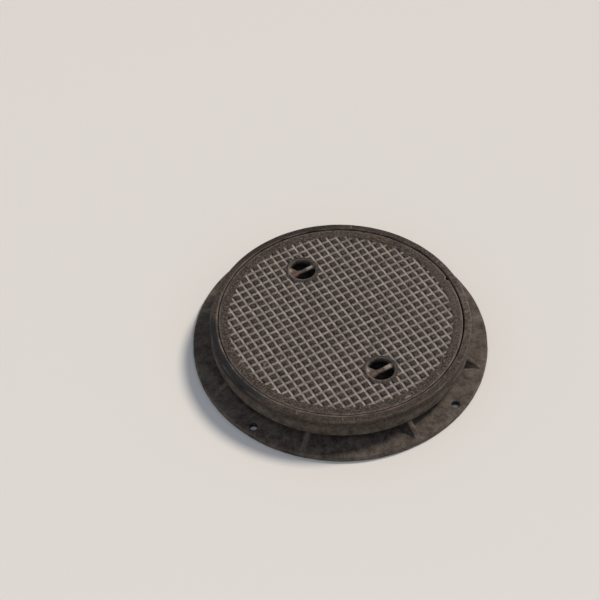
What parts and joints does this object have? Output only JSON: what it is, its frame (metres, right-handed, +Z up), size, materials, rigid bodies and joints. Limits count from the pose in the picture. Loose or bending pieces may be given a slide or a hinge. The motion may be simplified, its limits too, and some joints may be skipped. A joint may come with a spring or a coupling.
{
  "type": "manhole cover and frame",
  "caption": "Round cast-iron manhole cover with a squared grooved tread and barred lifting pockets, seated on a cushion ring in a flanged street frame.",
  "frame": {"origin": "centre of the frame's underside", "axes": "+Z up, out of the shaft; +Y towards lifting pocket a; the tread's grooves run along X and Y"},
  "size_m": [0.8, 0.8, 0.102],
  "materials": {
    "frame_iron": "rough sand-cast grey iron, brown patina",
    "cover_iron": "sand-cast grey iron, dark brown patina, pale grit in the grooves",
    "bar_steel": "hot-rolled round bar, rusted, worn on top",
    "cup_steel": "pressed galvanised steel, dull",
    "screw_steel": "zinc-plated hexagon screws",
    "rubber": "moulded black rubber, dusty"
  },
  "bodies": {
    "frame": {"frame": "frame_iron"},
    "cushion": {"cushion_ring": "rubber"},
    "cover": {"cover": "cover_iron", "lifting_bar_a": "bar_steel", "pocket_cup_a": "cup_steel", "cup_seal_a": "rubber", "cup_screws_a": "screw_steel", "lifting_bar_b": "bar_steel", "pocket_cup_b": "cup_steel", "cup_seal_b": "rubber", "cup_screws_b": "screw_steel"}
  },
  "joints": [
    {"name": "cover_turn", "type": "hinge", "parent": "frame", "child": "cushion", "pos_m": [0, 0, 0], "axis": [0, 0, 1], "continuous": true},
    {"name": "cover_lift", "type": "slide", "parent": "cushion", "child": "cover", "axis": [0, 0, 1], "range_m": [0, 0.15]}
  ]
}
